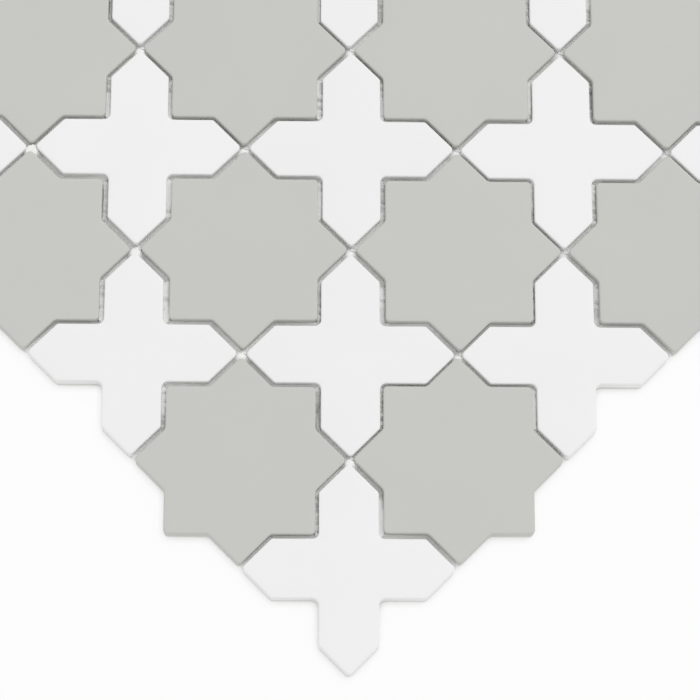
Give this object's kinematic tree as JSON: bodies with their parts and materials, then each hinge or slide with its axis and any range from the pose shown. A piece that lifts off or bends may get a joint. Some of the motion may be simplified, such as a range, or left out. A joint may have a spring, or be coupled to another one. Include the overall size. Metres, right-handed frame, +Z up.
{
  "type": "star and cross mosaic tile sheet",
  "caption": "Flat mosaic sheet of matt grey eight-point star tiles and matt white pointed cross tiles in turn on a backing net, with open joints and interlocking edges.",
  "frame": {"origin": "middle of the sheet, on the surface that it lies on", "axes": "X and Y along the sheet's edges, +Z up out of the glazed faces"},
  "size_m": [0.3236, 0.3236, 0.0065],
  "materials": {
    "star_glaze": "matt warm-grey glaze",
    "cross_glaze": "matt white glaze",
    "net_thread": "white glass-fibre net, coated"
  },
  "bodies": {
    "root": {"cross_tile_r1_c1": "cross_glaze", "star_tile_r1_c2": "star_glaze", "cross_tile_r1_c3": "cross_glaze", "star_tile_r1_c4": "star_glaze", "cross_tile_r1_c5": "cross_glaze", "star_tile_r1_c6": "star_glaze", "star_tile_r2_c1": "star_glaze", "cross_tile_r2_c2": "cross_glaze", "star_tile_r2_c3": "star_glaze", "cross_tile_r2_c4": "cross_glaze", "star_tile_r2_c5": "star_glaze", "cross_tile_r2_c6": "cross_glaze", "cross_tile_r3_c1": "cross_glaze", "star_tile_r3_c2": "star_glaze", "cross_tile_r3_c3": "cross_glaze", "star_tile_r3_c4": "star_glaze", "cross_tile_r3_c5": "cross_glaze", "star_tile_r3_c6": "star_glaze", "star_tile_r4_c1": "star_glaze", "cross_tile_r4_c2": "cross_glaze", "star_tile_r4_c3": "star_glaze", "cross_tile_r4_c4": "cross_glaze", "star_tile_r4_c5": "star_glaze", "cross_tile_r4_c6": "cross_glaze", "cross_tile_r5_c1": "cross_glaze", "star_tile_r5_c2": "star_glaze", "cross_tile_r5_c3": "cross_glaze", "star_tile_r5_c4": "star_glaze", "cross_tile_r5_c5": "cross_glaze", "star_tile_r5_c6": "star_glaze", "star_tile_r6_c1": "star_glaze", "cross_tile_r6_c2": "cross_glaze", "star_tile_r6_c3": "star_glaze", "cross_tile_r6_c4": "cross_glaze", "star_tile_r6_c5": "star_glaze", "cross_tile_r6_c6": "cross_glaze", "net_weft_threads": "net_thread", "net_warp_threads": "net_thread"}
  },
  "joints": []
}
